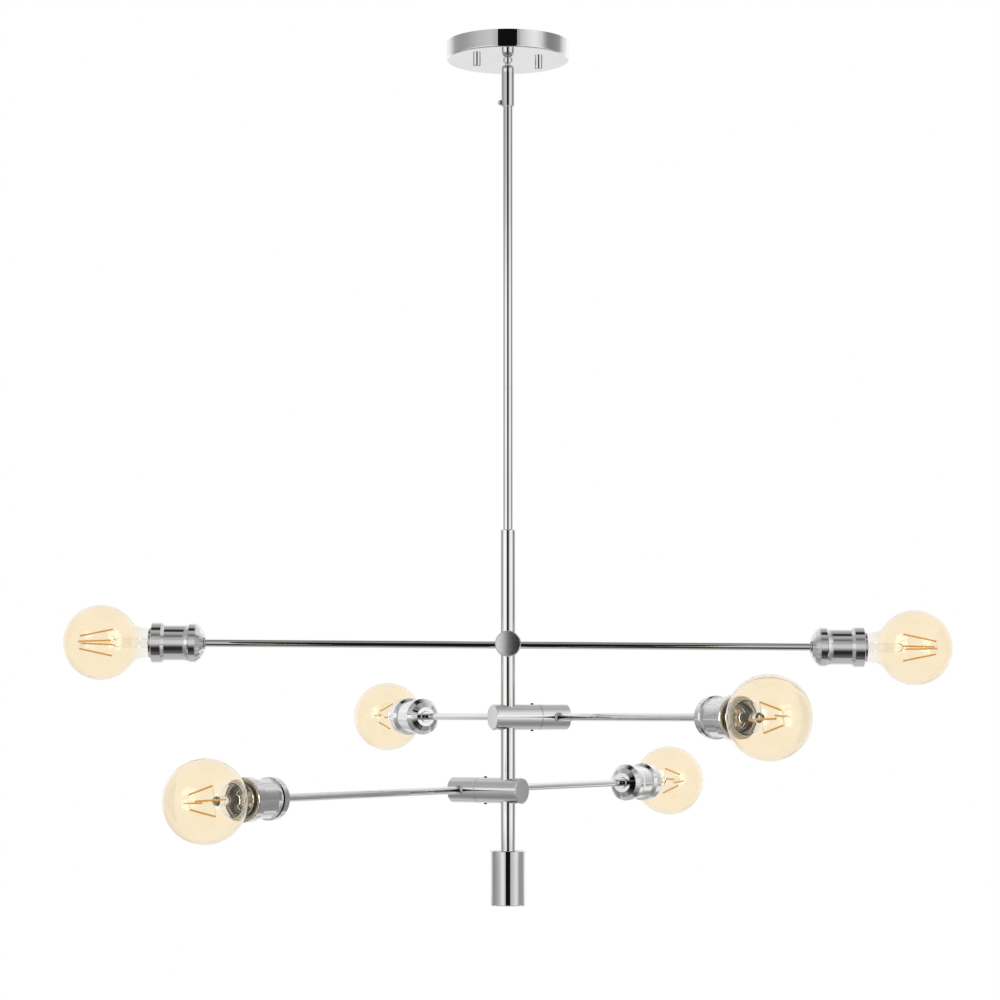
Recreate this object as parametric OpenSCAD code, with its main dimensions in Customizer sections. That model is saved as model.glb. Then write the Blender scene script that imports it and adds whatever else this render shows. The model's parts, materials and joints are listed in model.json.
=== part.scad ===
// Adjustable chandelier with three double-ended arms on one stem.
// Millimetres, +Z up. The origin is the centre of the ceiling plane, and the stem hangs along -Z.
// Every arm turns about the stem on its hub and tilts about the hub's own axis.

/* [Canopy] */
// Diameter of the ceiling canopy
canopy_d = 130; // [120:1:150]
// Height of the canopy
canopy_h = 19; // [16:0.5:24]
// Sheet thickness of the canopy
canopy_wall = 1; // [0.8:0.1:1.5]
// Outer radius of the canopy's lower edge
canopy_edge = 1.8; // [1.6:0.1:3]
// Distance between the two canopy nuts
canopy_nut_span = 67; // [60:1:76]
// Diameter of a canopy nut
canopy_nut_d = 8.8; // [7:0.2:10]
// Length of a canopy nut
canopy_nut_l = 7.9; // [6:0.1:10]
// Thread diameter of the two canopy studs
stud_d = 4; // [3:0.5:5]

/* [Ceiling bracket] */
// Length of the bracket
bracket_l = 104; // [100:1:112]
// Width of the bracket
bracket_w = 18; // [14:1:22]
// Thickness of the bracket
bracket_t = 2; // [1.5:0.1:3]
// Angle of the bracket on the ceiling
bracket_turn = 12; // [0:1:180]
// Distance between the two ceiling screws
ceiling_screw_span = 89; // [87:1:91]
// Diameter of a ceiling screw's hole
ceiling_hole_d = 5; // [4:0.5:6]

/* [Swivel] */
// Diameter of the swivel's ball
ball_d = 10.4; // [10:0.1:10.6]
// Diameter of the neck above the ball
neck_d = 6.4; // [5.6:0.1:6.6]
// Diameter of the collar that bears on the canopy
neck_collar_d = 10.7; // [10.4:0.1:14]
// Drop from the canopy to the top of the housing
neck_gap = 4.8; // [4.5:0.1:8]
// Diameter of the housing and of the collar under it
housing_d = 14.3; // [14.2:0.1:18]
// Length of the housing
housing_l = 33.8; // [28:0.1:44]
// Length of the collar that holds the upper rod
collar_l = 10.8; // [9:0.1:20]

/* [Rods] */
// Diameter of both rods
rod_d = 10.5; // [9.6:0.1:10.8]
// Wall of both rods
rod_wall = 1.5; // [1:0.1:2]
// Length of the upper rod that shows
upper_rod_l = 301; // [150:1:600]
// Length of the lower rod that shows
lower_rod_l = 149; // [100:1:600]

/* [Stem] */
// Diameter of the stem's sleeves
sleeve_d = 16; // [15:0.1:19]
// Wall of the stem's sleeves
sleeve_wall = 1.5; // [1:0.1:1.8]
// Height of the cap on the longest sleeve
cap_h = 3.8; // [2:0.1:8]
// Diameter of the threaded pipe that carries the hubs
pipe_d = 10; // [8:0.1:10.6]
// Wall of the threaded pipe
pipe_wall = 1.5; // [1:0.1:2]
// Drop from the top of the cap to the first hub's axis
first_hub_drop = 119.8; // [60:0.2:300]
// Distance between one hub's axis and the next
hub_spacing = 76.4; // [60:0.2:140]
// Drop from the last hub's axis to the finial
finial_drop = 62; // [34:0.2:120]
// Diameter of the finial
finial_d = 38; // [24:0.5:60]
// Length of the finial
finial_l = 56.6; // [36:0.2:90]

/* [Hubs] */
// Diameter of a hub
hub_d = 27; // [26:0.2:34]
// Length of a hub behind the stem
hub_back = 18; // [14:0.2:30]
// Length of a hub from the stem to the seam
hub_front = 34.5; // [33:0.1:44]
// Distance from the stem to the arm
arm_offset = 53.3; // [50:0.1:70]
// Distance from the stem to the far end of the hub
hub_reach = 68.5; // [66:0.1:90]
// Direction of each hub, top to bottom
hub_turn = [90, 26, 147]; // [0:1:360]
// Tilt of each arm, top to bottom
arm_tilt = [0.37, -0.15, 0]; // [-5:0.01:5]

/* [Arms] */
// Diameter of an arm
arm_d = 8; // [6:0.1:9]
// Wall of an arm
arm_wall = 1; // [0.6:0.1:1.5]
// Length from the arm's centre to each flange
arm_reach = 322; // [200:1:450]
// Diameter of the flange behind each lamp holder
flange_d = 13; // [11:0.1:18]
// Thickness of the flange
flange_t = 1.8; // [1:0.1:4]

/* [Lamp holders] */
// Diameter of the holder's body
shell_d = 37.4; // [36.4:0.1:40]
// Diameter of the ring at the back of the holder
back_ring_d = 41.4; // [40.6:0.1:46]
// Diameter of the ring at the mouth of the holder
mouth_ring_d = 42.9; // [42:0.1:48]
// Wall of the holder's shell
shell_wall = 1; // [0.6:0.1:1.2]
// Length of the cone behind the holder
cone_l = 8; // [6:0.1:12]
// Length of the ring at the back
back_ring_l = 7.4; // [5:0.1:12]
// Length of the hollow curve from the back ring to the body
waist_l = 7; // [3:0.1:9]
// Length of the body
body_l = 19; // [16:0.1:28]
// Length of the step before the mouth ring
step_l = 3.4; // [2:0.1:6]
// Length of the ring at the mouth
mouth_ring_l = 10.4; // [9:0.1:16]

/* [Bulbs] */
// Diameter of the glass globe
globe_d = 80; // [76:1:95]
// Length of the bulb, from its contact to its tip
bulb_l = 122; // [116:1:140]
// Diameter of the metal cap
cap_d = 26; // [25:0.1:26.1]
// Diameter of the glass neck
bulb_neck_d = 32.4; // [30:0.1:32.6]
// Radius of the curve between neck and globe
bulb_fillet = 12; // [8:0.5:16]
// Thickness of the glass
glass_t = 0.9; // [0.6:0.1:1.5]
// Diameter of the glass mount inside the bulb
mount_d = 9.8; // [6:0.1:12]
// Diameter of one light filament
filament_d = 1.8; // [1:0.1:2.5]

/* [Hidden] */

$fn = 64;

// Clearances
fit = 0.05;        // radial clearance of a shaft in its bore
seam = 0.3;        // gap between two pieces that turn against each other
lift = 0.1;        // gap over and under a hub, taken up by the washers
chamfer = 0.8;     // small turned edge

// Heights along the stem, from the ceiling down
canopy_under = -canopy_h;
housing_top = canopy_under - neck_gap;
ball_drop = 5.6;
ball_z = housing_top - ball_drop;
housing_under = housing_top - housing_l;
collar_under = housing_under - collar_l;
rod_joint = collar_under - upper_rod_l;
cap_top = rod_joint - lower_rod_l;
sleeve_top = cap_top - cap_h;
hub_z = [for (k = [0:2]) cap_top - first_hub_drop - k * hub_spacing];
finial_top = hub_z[2] - finial_drop;
finial_under = finial_top - finial_l;

// Swivel
ring_t = 0.75;
ring_low = 0.4;
ring_high = 3.3;
housing_mouth_r = 4.8;
housing_round = 4.6;
wire_r = 2;
thread_r = 5;
thread_top = -6;
stem_nut_h = 4;
stem_nut_af = 15;
ball_r = ball_d / 2;
ring_r = ball_r + fit + ring_t;
socket_r = ring_r + fit;
spigot_top = ball_z - socket_r - 1;
rod_top = housing_under + 6;

// Stem
rod_r = rod_d / 2;
rod_edge = 0.25;
pipe_r = pipe_d / 2;
cap_skirt_l = 16;
rod_in_cap = 10;
pipe_top = cap_top - rod_in_cap - seam;
pipe_in_finial = 24;
pipe_bottom = finial_top - pipe_in_finial;
washer_t = 0.8;

// Hubs
hub_r = hub_d / 2;
sleeve_seat_r = sleeve_d / 2 + fit;
sleeve_seat = sqrt(hub_r * hub_r - sleeve_seat_r * sleeve_seat_r) - 0.6;
sleeve_end = sleeve_seat + lift + washer_t;
hub_edge = 1;
spigot_r = 8.9;
spigot_back = 18;
hub_screw_at = hub_front - 6.5;
hub_screw_d = 3;
groove_r = 7.4;
groove_w = 3.6;
arm_hole_depth = 4;

// Lamp stations, measured along the arm from its centre
holder_at = arm_reach + flange_t;
back_ring_at = holder_at + cone_l;
waist_at = back_ring_at + back_ring_l;
body_at = waist_at + waist_l;
step_at = body_at + body_l;
mouth_ring_at = step_at + step_l;
mouth_at = mouth_ring_at + mouth_ring_l;
cap_h_bulb = 25;
cone_back_r = 11;
cone_mid = [16.6, 3.6];
shell_bore_r = shell_d / 2 - shell_wall;
mouth_bore_r = mouth_ring_d / 2 - shell_wall;
socket_depth = cap_h_bulb + 2;
contact_at = mouth_at - socket_depth;
floor_at = contact_at - 5;
insulator_at = floor_at - 3.2;
insulator_sink = 1;
insulator_lip_l = 7;
insulator_lip_r = mouth_bore_r - 0.5;
insulator_front_r = insulator_lip_r - 2.1;
screw_shell_t = 0.4;
screw_shell_l = 21.5;
screw_flare_l = 6.5;
screw_lip_out = 3;
cap_r = cap_d / 2;
screw_bore_r = cap_r + 2 * fit;
insulator_bore_r = screw_bore_r + screw_shell_t + fit;

// Bulb stations, measured from the bulb's contact
globe_r = globe_d / 2;
globe_at = bulb_l - globe_r;
neck_r = bulb_neck_d / 2;
fillet_r_out = neck_r + bulb_fillet;
fillet_at = globe_at - sqrt(pow(globe_r + bulb_fillet, 2) - pow(fillet_r_out, 2));
button_h = 1.5;
cap_cone_h = 5;
cap_t = 0.35;
root_at = cap_h_bulb - 5;
root_r = cap_r - cap_t - fit;
flare_at = cap_h_bulb + 0.4;
shoulder_at = flare_at + (fillet_at - flare_at) / 3;
shoulder_r = neck_r - 1.2;
neck_lip_at = socket_depth + screw_lip_out;
screw_lip_r = neck_radius(neck_lip_at) + screw_shell_t + 0.5;
mount_r = mount_d / 2;
mount_end = globe_at - 14;
mount_flare_l = 11;
cage_base = [14.3, globe_at - 12.5];
cage_tip = [6.9, globe_at + 22.5];
wire_d = 0.7;
cage_turn = 8;

// Radius of the bulb's glass at a station between its shoulder and its globe
function neck_radius(z) = z < fillet_at
    ? shoulder_r + (neck_r - shoulder_r) * (z - shoulder_at) / (fillet_at - shoulder_at)
    : fillet_r_out - sqrt(pow(bulb_fillet, 2) - pow(z - fillet_at, 2));

// ---- placing helpers ----

// The frame of hub k: stem on Z, hub axis along +X
module at_hub(k) {
    translate([0, 0, hub_z[k]]) rotate([0, 0, hub_turn[k]]) children();
}

// The frame of arm k: the arm runs along Y through the origin
module at_arm(k) {
    at_hub(k) rotate([arm_tilt[k], 0, 0]) translate([arm_offset, 0, 0]) children();
}

// Two copies with +Z turned out along both ends of an arm
module both_ends() {
    for (side = [-1, 1]) rotate([-90 * side, 0, 0]) children();
}

// A frame whose +Z runs out along the hub's axis
module along_hub() {
    rotate([0, 90, 0]) children();
}

module bracket_frame() {
    rotate([0, 0, bracket_turn]) children();
}

module stud_places() {
    bracket_frame() for (side = [-1, 1]) translate([side * canopy_nut_span / 2, 0, 0]) children();
}

module tube(z_low, z_high, r_out, r_in) {
    translate([0, 0, z_low]) difference() {
        cylinder(h = z_high - z_low, r = r_out);
        translate([0, 0, -1]) cylinder(h = z_high - z_low + 2, r = r_in);
    }
}

// A turned bar with a chamfer at both ends
module turned_bar(z_low, z_high, r, c_low, c_high) {
    rotate_extrude() polygon([
        [0, z_low], [r - c_low, z_low], [r, z_low + c_low],
        [r, z_high - c_high], [r - c_high, z_high], [0, z_high],
    ]);
}

module hex_nut(z_low, h, across_flats, r_bore) {
    translate([0, 0, z_low]) difference() {
        cylinder(h = h, r = across_flats / sqrt(3), $fn = 6);
        translate([0, 0, -1]) cylinder(h = h + 2, r = r_bore);
    }
}

// ---- ceiling side ----

module ceiling_bracket() {
    color("gainsboro") bracket_frame() difference() {
        translate([0, 0, -bracket_t]) intersection() {
            cylinder(h = bracket_t, d = bracket_l);
            translate([-bracket_l / 2, -bracket_w / 2, -1]) cube([bracket_l, bracket_w, bracket_t + 2]);
        }
        for (side = [-1, 1]) {
            translate([side * ceiling_screw_span / 2, 0, -bracket_t - 1])
                cylinder(h = bracket_t + 2, d = ceiling_hole_d);
            translate([side * canopy_nut_span / 2, 0, -bracket_t - 1])
                cylinder(h = bracket_t + 2, r = stud_d / 2 + fit);
        }
        translate([0, 0, -bracket_t - 1]) cylinder(h = bracket_t + 2, r = thread_r + 1);
        translate([canopy_nut_span / 4, 0, -bracket_t - 1]) cylinder(h = bracket_t + 2, r = 2 + fit);
    }
}

// Earthing screw with a flat head under the bracket
module ground_screw() {
    color("seagreen") bracket_frame() translate([canopy_nut_span / 4, 0, -bracket_t]) {
        cylinder(h = bracket_t - 0.2, r = 2);
        difference() {
            translate([0, 0, -2.2]) cylinder(h = 2.2, r = 4);
            translate([-5, -0.5, -3]) cube([10, 1, 1.8]);
        }
    }
}

module canopy_studs() {
    color("silver") stud_places() translate([0, 0, canopy_under - canopy_nut_l + 2])
        cylinder(h = canopy_h + canopy_nut_l - 2.2, d = stud_d);
}

module stud_nuts() {
    color("silver") stud_places() hex_nut(-bracket_t - 3.2, 3.2, stud_d * 1.75, stud_d / 2 + fit);
}

module canopy_cup(r, h, edge) {
    rotate_extrude($fn = 128) {
        square([r - edge, h]);
        translate([0, edge]) square([r, h - edge]);
        translate([r - edge, edge]) circle(edge, $fn = 32);
    }
}

module canopy() {
    color("lightgray") difference() {
        translate([0, 0, canopy_under]) canopy_cup(canopy_d / 2, canopy_h, canopy_edge);
        translate([0, 0, canopy_under + canopy_wall])
            canopy_cup(canopy_d / 2 - canopy_wall, canopy_h, canopy_edge - canopy_wall);
        translate([0, 0, canopy_under - 1]) cylinder(h = canopy_wall + 2, r = thread_r + fit);
        stud_places() translate([0, 0, canopy_under - 1])
            cylinder(h = canopy_wall + 2, r = stud_d / 2 + 0.2);
    }
}

module canopy_nuts() {
    low = canopy_under - canopy_nut_l;
    color("silver") stud_places() difference() {
        turned_bar(low, canopy_under, canopy_nut_d / 2, 0.5, 0);
        translate([0, 0, low + 1.5]) cylinder(h = canopy_nut_l, r = stud_d / 2 + fit);
    }
}

// Threaded stem with the swivel's ball at its lower end, hollow for the wires
module ball_stem() {
    collar_low = canopy_under - 2.2;
    neck_r = neck_d / 2;
    color("silver") difference() {
        union() {
            translate([0, 0, ball_z]) sphere(ball_r, $fn = 96);
            rotate_extrude() polygon([
                [0, ball_z], [neck_r, ball_z], [neck_r, housing_top + 0.6],
                [neck_r + 0.9, collar_low], [neck_collar_d / 2, collar_low],
                [neck_collar_d / 2, canopy_under], [thread_r, canopy_under],
                [thread_r, thread_top], [0, thread_top],
            ]);
        }
        translate([0, 0, ball_z - ball_r - 1]) cylinder(h = canopy_h + 40, r = wire_r);
    }
}

module stem_nut() {
    color("silver") hex_nut(canopy_under + canopy_wall, stem_nut_h, stem_nut_af, thread_r + fit);
}

// ---- swivel ----

// Half-round seat that rides on the ball and carries the housing
module swivel_ring() {
    color("ivory") translate([0, 0, ball_z]) rotate_extrude($fn = 96) intersection() {
        difference() {
            circle(ring_r);
            circle(ball_r + fit);
        }
        translate([0, ring_low]) square([ring_r + 1, ring_high - ring_low]);
    }
}

module swivel_housing() {
    r = housing_d / 2;
    color("silver") difference() {
        rotate_extrude() {
            translate([0, housing_under]) square([r, housing_l - housing_round]);
            square_top = housing_top - housing_round;
            translate([0, square_top]) square([r - housing_round, housing_round]);
            intersection() {
                translate([r - housing_round, square_top]) circle(housing_round);
                translate([0, square_top]) square([r, housing_round]);
            }
        }
        translate([0, 0, ball_z]) sphere(socket_r, $fn = 96);
        translate([0, 0, housing_under - 1]) cylinder(h = ball_z - housing_under + 1, r = socket_r);
        translate([0, 0, ball_z]) cylinder(h = ball_drop + 1, r = housing_mouth_r);
    }
}

module rod_collar() {
    color("silver") difference() {
        union() {
            turned_bar(collar_under, housing_under, housing_d / 2, 0.4, 0);
            translate([0, 0, housing_under]) cylinder(h = spigot_top - housing_under, r = socket_r - fit);
        }
        translate([0, 0, collar_under - 1]) cylinder(h = rod_top - collar_under + 1, r = rod_r + fit);
        translate([0, 0, rod_top - 1]) cylinder(h = spigot_top - rod_top + 2, r = rod_r - rod_wall);
        translate([0, 0, collar_under + 4.2]) rotate([0, -90, 0]) cylinder(h = housing_d, r = 1.5 + fit);
    }
}

// Round-headed screw in the side of the collar, which bears on the rod
module rod_set_screw() {
    shank = housing_d / 2 - rod_r - fit;
    color("silver") translate([-rod_r - fit, 0, collar_under + 4.2]) rotate([0, -90, 0]) {
        cylinder(h = shank + 0.2, r = 1.5);
        translate([0, 0, shank]) rotate_extrude() {
            square([3, 0.6]);
            translate([0, 0.6]) intersection() {
                circle(3);
                square([3, 3]);
            }
        }
    }
}

// ---- rods and stem ----

// A rod with a small turned edge at both ends, which makes the fine line at a joint
module rod(z_low, z_high) {
    difference() {
        turned_bar(z_low, z_high, rod_r, rod_edge, rod_edge);
        translate([0, 0, z_low - 1]) cylinder(h = z_high - z_low + 2, r = rod_r - rod_wall);
    }
}

module upper_rod() {
    color("silver") rod(rod_joint, rod_top);
}

module rod_coupling() {
    color("goldenrod") tube(rod_joint - 12, rod_joint + 12, rod_r - rod_wall - fit, rod_r - rod_wall - 1.4);
}

module lower_rod() {
    color("silver") rod(cap_top - rod_in_cap, rod_joint);
}

// Turned cap that joins the rod to the pipe and closes the longest sleeve
module sleeve_cap() {
    skirt_low = sleeve_top - cap_skirt_l;
    color("silver") difference() {
        union() {
            turned_bar(sleeve_top, cap_top, sleeve_d / 2, 0.2, chamfer);
            translate([0, 0, skirt_low]) cylinder(h = cap_skirt_l, r = sleeve_d / 2 - sleeve_wall - fit);
        }
        translate([0, 0, cap_top - rod_in_cap]) cylinder(h = rod_in_cap + 1, r = rod_r + fit);
        translate([0, 0, skirt_low - 1]) cylinder(h = cap_skirt_l + cap_h, r = pipe_r + fit);
    }
}

// Threaded pipe through the three hubs, with a hole for the wires in each hub
module hub_pipe() {
    color("darkgray") difference() {
        tube(pipe_bottom, pipe_top, pipe_r, pipe_r - pipe_wall);
        for (k = [0:2]) at_hub(k) along_hub() cylinder(h = pipe_d, r = 2.2);
    }
}

module sleeve(z_low, z_high) {
    tube(z_low, z_high, sleeve_d / 2, sleeve_d / 2 - sleeve_wall);
}

module long_sleeve() {
    color("silver") sleeve(hub_z[0] + sleeve_end, sleeve_top);
}

module short_sleeves() {
    color("silver") {
        for (k = [0:1]) sleeve(hub_z[k + 1] + sleeve_end, hub_z[k] - sleeve_end);
        sleeve(finial_top, hub_z[2] - sleeve_end);
    }
}

// Plastic washers that the hubs turn on
module hub_washers() {
    color("ivory") for (k = [0:2], side = [-1, 1])
        translate([0, 0, hub_z[k] + side * (sleeve_end - washer_t / 2)])
            tube(-washer_t / 2, washer_t / 2, sleeve_d / 2, pipe_r + fit);
}

module finial() {
    color("silver") difference() {
        turned_bar(finial_under, finial_top, finial_d / 2, chamfer, chamfer);
        translate([0, 0, pipe_bottom - 1]) cylinder(h = pipe_in_finial + 2, r = pipe_r + fit);
    }
}

// ---- hubs ----

module hub_body(k) {
    color("silver") at_hub(k) difference() {
        along_hub() turned_bar(-hub_back, hub_front, hub_r, hub_edge, 0.3);
        translate([0, 0, -hub_r - 1]) cylinder(h = hub_d + 2, r = pipe_r + fit);
        for (side = [0, 180]) rotate([side, 0, 0])
            translate([0, 0, sleeve_seat]) cylinder(h = hub_r, r = sleeve_seat_r);
        along_hub() cylinder(h = hub_front, r = 3);
        along_hub() translate([0, 0, spigot_back - seam]) cylinder(h = hub_front, r = spigot_r + fit);
        translate([hub_screw_at, 0, -hub_r - 1]) cylinder(h = hub_d + 2, d = hub_screw_d + 2 * fit);
    }
}

// Two small screws that run in the carrier's groove and keep it in the hub
module hub_screws(k) {
    color("dimgray") at_hub(k) for (side = [0, 180]) rotate([side, 0, 0]) translate([hub_screw_at, 0, 0]) {
        translate([0, 0, groove_r + seam]) cylinder(h = hub_r - groove_r, d = hub_screw_d);
        translate([0, 0, hub_r + fit]) cylinder(h = 1.1, r1 = 1.8, r2 = 1.3);
    }
}

// Outer part of the hub, which turns about the hub's axis and holds both arms
module carrier(k) {
    color("silver") at_arm(k) difference() {
        translate([-arm_offset, 0, 0]) along_hub() {
            turned_bar(hub_front + seam, hub_reach, hub_r, 0.3, hub_edge);
            difference() {
                translate([0, 0, spigot_back]) cylinder(h = hub_front + seam - spigot_back, r = spigot_r);
                translate([0, 0, hub_screw_at - groove_w / 2]) difference() {
                    cylinder(h = groove_w, r = spigot_r + 1);
                    translate([0, 0, -1]) cylinder(h = groove_w + 2, r = groove_r);
                }
            }
        }
        translate([spigot_back - arm_offset - 1, 0, 0]) along_hub()
            cylinder(h = arm_offset - spigot_back + 1, r = 3);
        both_ends() {
            cylinder(h = hub_r + 1, r = arm_d / 2 + fit);
            translate([0, 0, hub_r - 2.4]) cylinder(h = 3.4, r1 = arm_d / 2 + fit, r2 = arm_d / 2 + 2.6);
        }
    }
}

// ---- arms and lamp holders ----

module arms(k) {
    color("silver") at_arm(k) both_ends()
        tube(arm_hole_depth, holder_at + 4, arm_d / 2, arm_d / 2 - arm_wall);
}

module flanges(k) {
    color("silver") at_arm(k) both_ends() difference() {
        turned_bar(arm_reach, holder_at, flange_d / 2, 0.5, 0.2);
        translate([0, 0, arm_reach - 1]) cylinder(h = flange_t + 2, r = arm_d / 2 + fit);
    }
}

// Spun cone that closes the back of the holder, with a skirt inside the shell
module cones(k) {
    skirt = shell_bore_r - fit;
    wall = 1.4;
    color("silver") at_arm(k) both_ends() translate([0, 0, holder_at]) rotate_extrude() polygon([
        [arm_d / 2 + fit, 0], [cone_back_r, 0], cone_mid, [back_ring_d / 2 - 0.4, cone_l - 0.4],
        [back_ring_d / 2 - 0.4, cone_l], [skirt, cone_l], [skirt, cone_l + back_ring_l],
        [skirt - wall, cone_l + back_ring_l], [skirt - wall, cone_l - 1],
        [cone_mid[0] - 3, cone_mid[1] + 1], [cone_back_r - 2, wall + 1],
        [arm_d / 2 + 2, wall + 1], [arm_d / 2 + 2, 4], [arm_d / 2 + fit, 4],
    ]);
}

// Radius of the shell's skin over the waist, a hollow curve that runs out on the body
function waist_r(t) = shell_d / 2 + (back_ring_d - shell_d) / 2 * (1 - sqrt(1 - pow(1 - t, 2)));

module shells(k) {
    steps = 6;
    color("silver") at_arm(k) both_ends() rotate_extrude($fn = 96) polygon(concat(
        [[shell_bore_r, back_ring_at], [back_ring_d / 2 - 0.5, back_ring_at],
         [back_ring_d / 2, back_ring_at + 0.5]],
        [for (i = [0:steps]) [waist_r(i / steps), waist_at + waist_l * i / steps]],
        [[shell_d / 2, step_at], [mouth_ring_d / 2, mouth_ring_at],
         [mouth_ring_d / 2, mouth_at - 0.4], [mouth_ring_d / 2 - 0.4, mouth_at],
         [mouth_bore_r, mouth_at], [mouth_bore_r, mouth_ring_at + 0.6], [shell_bore_r, step_at + 0.4]]
    ));
}

// Cream insulator with a floor, a bore for the screw shell and a wide lip at the mouth
module insulators(k) {
    r = shell_bore_r - fit;
    front = mouth_at - insulator_sink;
    lip_low = front - insulator_lip_l;
    color("cornsilk") at_arm(k) both_ends() difference() {
        union() {
            translate([0, 0, insulator_at]) cylinder(h = front - insulator_at, r = r);
            translate([0, 0, lip_low]) cylinder(h = insulator_lip_l, r = insulator_lip_r);
        }
        translate([0, 0, floor_at]) cylinder(h = screw_shell_l + 1, r = insulator_bore_r);
        translate([0, 0, floor_at + screw_shell_l])
            cylinder(h = screw_flare_l, r1 = insulator_bore_r, r2 = screw_lip_r + fit);
        translate([0, 0, floor_at + screw_shell_l + screw_flare_l - 0.5])
            cylinder(h = bulb_l, r = insulator_front_r);
        translate([0, 0, insulator_at - 1]) cylinder(h = 10, r = 1.6);
    }
}

// Screw shell with its flared lip, and centre contact of each holder
module contacts(k) {
    shell_top = floor_at + screw_shell_l;
    flare_top = shell_top + screw_flare_l;
    t = screw_shell_t;
    color("goldenrod") at_arm(k) both_ends() {
        rotate_extrude() polygon([
            [screw_bore_r, floor_at], [screw_bore_r + t, floor_at], [screw_bore_r + t, shell_top],
            [screw_lip_r, flare_top], [screw_lip_r, mouth_at + screw_lip_out],
            [screw_lip_r - t, mouth_at + screw_lip_out], [screw_lip_r - t, flare_top + t / 2],
            [screw_bore_r, shell_top + t / 2],
        ]);
        translate([0, 0, insulator_at + 0.5]) cylinder(h = floor_at - insulator_at - 0.5, r = 1.5);
        translate([0, 0, floor_at]) cylinder(h = contact_at - floor_at, r = 3.2);
    }
}

// ---- bulbs ----

module at_bulbs(k) {
    at_arm(k) both_ends() translate([0, 0, contact_at]) children();
}

// Metal screw cap, its black insulator and the contact under it
module bulb_caps(k) {
    at_bulbs(k) {
        color("silver") rotate_extrude() polygon([
            [cap_r - 1, cap_cone_h], [cap_r, cap_cone_h + 1], [cap_r, cap_h_bulb],
            [cap_r - cap_t, cap_h_bulb], [cap_r - cap_t, cap_cone_h + 1],
            [cap_r - 1 - cap_t, cap_cone_h + 0.6], [cap_r - 1 - cap_t, cap_cone_h],
        ]);
        color("dimgray") rotate_extrude() polygon([
            [0, 0], [4, 0], [4.5, 0.5], [4.5, button_h], [cap_r - 1 - cap_t - fit, cap_cone_h],
            [cap_r - 1 - cap_t - fit, cap_cone_h + 0.6], [0, cap_cone_h + 0.6],
        ]);
    }
}

// Filled outline of the bulb's glass, drawn smaller by an inset
module globe_outline(inset) {
    r = globe_r - inset;
    f = bulb_fillet + inset;
    share = r / (r + f);
    meet = [fillet_r_out * share, globe_at - (globe_at - fillet_at) * share];
    difference() {
        union() {
            intersection() {
                translate([0, globe_at]) circle(r, $fn = 180);
                translate([0, fillet_at]) square([r + 1, 2 * globe_r + bulb_fillet]);
            }
            polygon([
                [0, root_at - inset], [root_r - inset, root_at - inset], [root_r - inset, flare_at],
                [shoulder_r - inset, shoulder_at], [neck_r - inset, fillet_at], meet, [0, meet[1]],
            ]);
        }
        translate([fillet_r_out, fillet_at]) circle(f, $fn = 90);
    }
}

module globes(k) {
    color([1, 0.86, 0.62, 0.4]) at_bulbs(k) rotate_extrude($fn = 120) difference() {
        globe_outline(0);
        globe_outline(glass_t);
        translate([-2 * globe_d, 0]) square([2 * globe_d, 2 * bulb_l]);
    }
}

// Thin round wire between two points given as [radius, station] at one angle
module cage_wire(turn, r_from, r_to, z) {
    rotate([0, 0, turn]) translate([r_from, 0, z]) rotate([0, 90, 0])
        cylinder(h = r_to - r_from, d = wire_d, $fn = 13);
}

// Glass mount with its flare, and the wires that hold the filaments
module mounts(k) {
    flare_r = root_r - glass_t - fit;
    base_wire_z = cage_base[1] - filament_d / 2 - wire_d / 2;
    tip_wire_z = cage_tip[1] + filament_d / 2 + wire_d / 2;
    color("lightgray") at_bulbs(k) {
        rotate_extrude() polygon([
            [flare_r - 0.9, root_at], [flare_r, root_at], [mount_r, root_at + mount_flare_l],
            [mount_r, mount_end - 3], [mount_r - 1.4, mount_end], [0, mount_end],
            [0, root_at + mount_flare_l + 2], [mount_r - 1, root_at + mount_flare_l],
        ]);
        translate([0, 0, mount_end]) cylinder(h = tip_wire_z - mount_end, d = wire_d, $fn = 13);
        for (turn = [0:90:270]) {
            cage_wire(cage_turn + turn, 0, cage_base[0] + filament_d / 3, base_wire_z);
            cage_wire(cage_turn + turn, 0, cage_tip[0] + filament_d / 3, tip_wire_z);
        }
    }
}

// Four light filaments that lean in towards the tip of the bulb
module filaments(k) {
    lean = atan2(cage_base[0] - cage_tip[0], cage_tip[1] - cage_base[1]);
    length = norm(cage_tip - cage_base);
    color("orange") at_bulbs(k) for (turn = [0:90:270]) rotate([0, 0, cage_turn + turn])
        translate([cage_base[0], 0, cage_base[1]]) rotate([0, -lean, 0])
            cylinder(h = length, d = filament_d, $fn = 24);
}

ceiling_bracket();
ground_screw();
canopy_studs();
stud_nuts();
canopy();
canopy_nuts();
ball_stem();
stem_nut();
swivel_ring();
swivel_housing();
rod_collar();
rod_set_screw();
upper_rod();
rod_coupling();
lower_rod();
sleeve_cap();
hub_pipe();
long_sleeve();
short_sleeves();
hub_washers();
finial();
hub_body(0);  // top_hub
hub_screws(0);  // top_hub_screws
hub_body(1);  // middle_hub
hub_screws(1);  // middle_hub_screws
hub_body(2);  // low_hub
hub_screws(2);  // low_hub_screws
carrier(0);  // top_carrier
arms(0);  // top_arms
flanges(0);  // top_flanges
cones(0);  // top_cones
shells(0);  // top_shells
insulators(0);  // top_insulators
contacts(0);  // top_contacts
bulb_caps(0);  // top_bulb_caps
globes(0);  // top_globes
mounts(0);  // top_mounts
filaments(0);  // top_filaments
carrier(1);  // middle_carrier
arms(1);  // middle_arms
flanges(1);  // middle_flanges
cones(1);  // middle_cones
shells(1);  // middle_shells
insulators(1);  // middle_insulators
contacts(1);  // middle_contacts
bulb_caps(1);  // middle_bulb_caps
globes(1);  // middle_globes
mounts(1);  // middle_mounts
filaments(1);  // middle_filaments
carrier(2);  // low_carrier
arms(2);  // low_arms
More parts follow.
